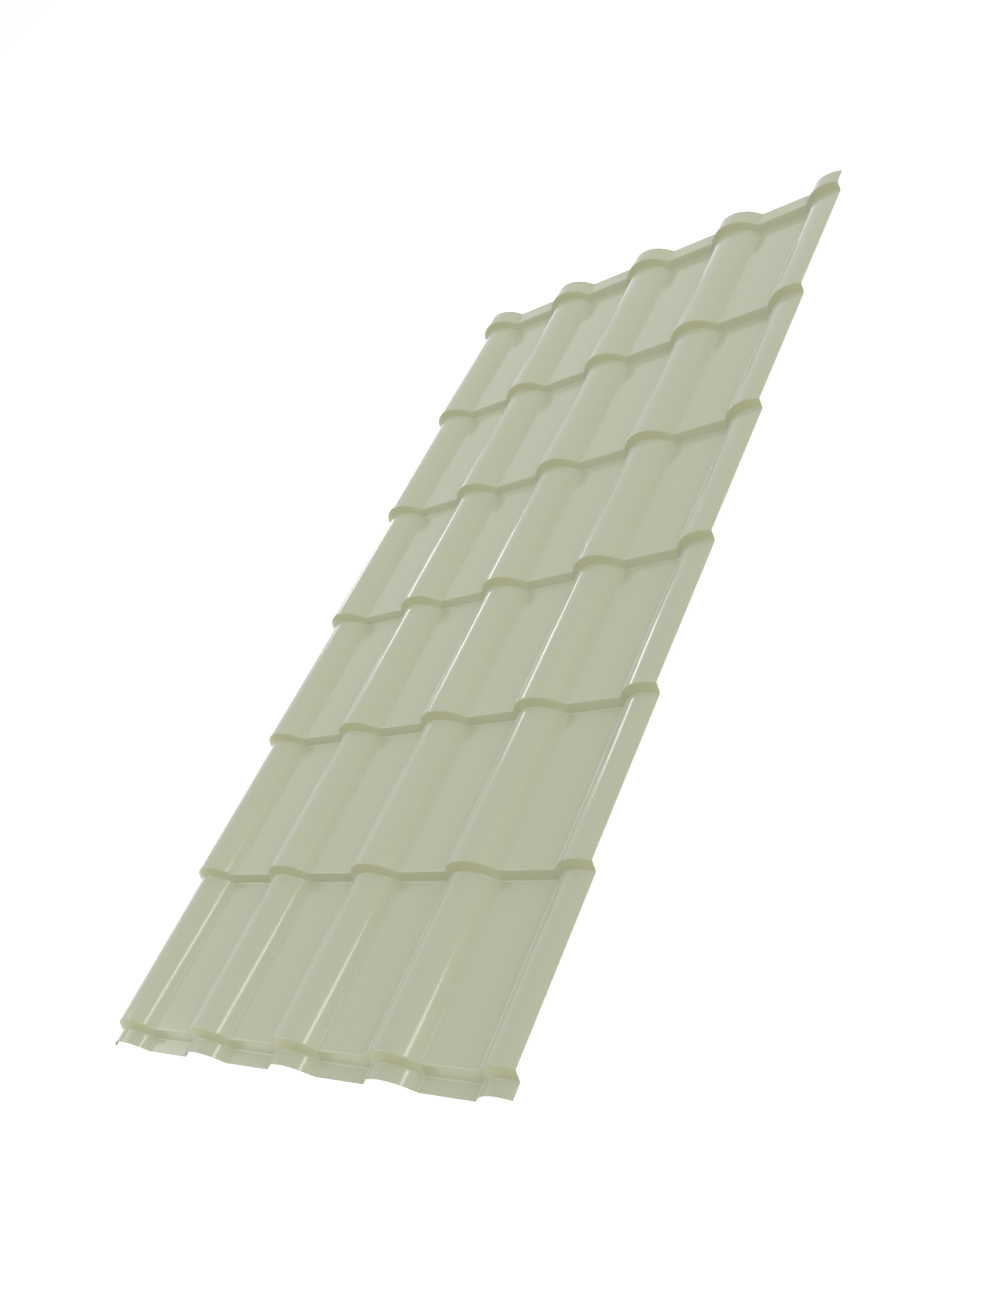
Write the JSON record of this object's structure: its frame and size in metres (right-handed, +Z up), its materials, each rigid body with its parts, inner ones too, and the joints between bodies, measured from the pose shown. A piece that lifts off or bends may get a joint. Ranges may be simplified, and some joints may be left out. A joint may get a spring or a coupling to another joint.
{
  "type": "metal roof tile sheet",
  "caption": "Prepainted steel roofing sheet with round crests, wide flat valleys and pressed tile steps, cut square at both ends, to lie on battens.",
  "frame": {"origin": "middle of the sheet seen from above, at the level of the valley undersides that it rests on", "axes": "+Z up out of the weather side, +Y up the roof slope from the eaves end to the ridge end, +X across the waves from the narrow lap crest to the cut cover crest"},
  "size_m": [1.1964, 2.1834, 0.0503],
  "materials": {
    "painted_steel": "satin coil-coated paint, pale grey-green cream"
  },
  "bodies": {
    "root": {"tile_sheet": "painted_steel"}
  },
  "joints": []
}
